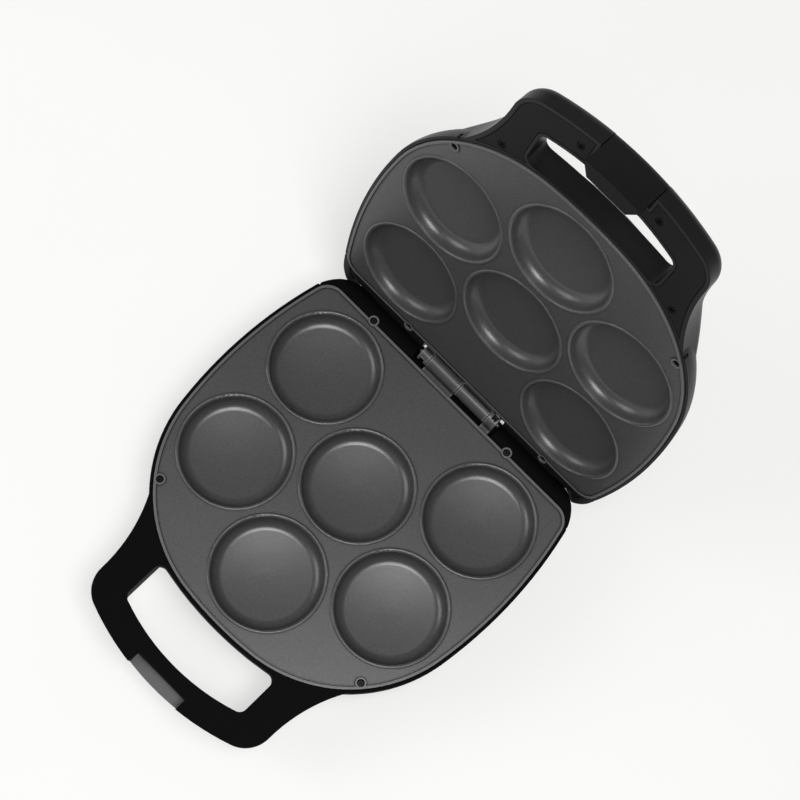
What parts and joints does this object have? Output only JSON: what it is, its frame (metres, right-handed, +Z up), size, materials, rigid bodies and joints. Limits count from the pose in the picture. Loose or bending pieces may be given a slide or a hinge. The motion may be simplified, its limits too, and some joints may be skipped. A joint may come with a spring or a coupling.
{
  "type": "hinged six-well cake and donut maker",
  "caption": "Tabletop hinged baking appliance with round wells in two heated plates, black housing halves, loop handles and a front latch, shown open.",
  "frame": {"origin": "on the table, under the middle of the open appliance's bounding box", "axes": "+X to the right seen from the handle side, +Y towards the hinge and the rear, +Z up"},
  "size_m": [0.2468, 0.3678, 0.3262],
  "materials": {
    "black_plastic": "satin",
    "satin_plastic": "satin",
    "grey_plastic": "matte",
    "coated_aluminium": "dark satin non-stick coating",
    "plain_metal": "satin",
    "steel": "satin",
    "dark_steel": "blackened",
    "rubber": "matte",
    "red_lens": "gloss",
    "green_lens": "gloss"
  },
  "bodies": {
    "base": {"base_shell": "black_plastic", "base_handle_cover": "black_plastic", "base_handle_screws": "dark_steel", "latch_strike": "grey_plastic", "lower_plate": "coated_aluminium", "lower_plate_screws": "dark_steel", "lower_element": "steel", "lower_element_clamps": "steel", "lower_clamp_screws": "steel", "lower_reflector": "steel", "lower_reflector_screws": "steel", "thermostat": "plain_metal", "thermal_fuse": "plain_metal", "fuse_clip": "steel", "terminal_block": "grey_plastic", "cord_gland": "rubber", "foot_front_left": "rubber", "foot_front_right": "rubber", "foot_rear_left": "rubber", "foot_rear_right": "rubber", "hinge_pin": "steel", "pin_clips": "steel"},
    "lid": {"lid_shell": "black_plastic", "lid_handle_cover": "satin_plastic", "lid_handle_screws": "dark_steel", "upper_plate": "coated_aluminium", "upper_plate_screws": "dark_steel", "upper_element": "steel", "upper_element_clamps": "steel", "upper_clamp_screws": "steel", "upper_reflector": "steel", "upper_reflector_screws": "steel", "power_lamp_lens": "red_lens", "ready_lamp_lens": "green_lens", "lamp_holder": "grey_plastic", "latch_pin": "steel", "latch_spring": "steel"},
    "latch": {"latch_clip": "satin_plastic"}
  },
  "joints": [
    {"name": "lid_hinge", "type": "hinge", "parent": "base", "child": "lid", "pos_m": [0, 0.09535, 0.052], "axis": [1, 0, 0], "range_deg": [0, 105]},
    {"name": "latch_swing", "type": "hinge", "parent": "lid", "child": "latch", "pos_m": [0, 0.17579, 0.31359], "axis": [-1, 0, 0], "range_deg": [0, 15], "stiffness_Nm_per_rad": 0.2, "springref_deg": -5.73, "deforming": ["latch_spring"]}
  ]
}
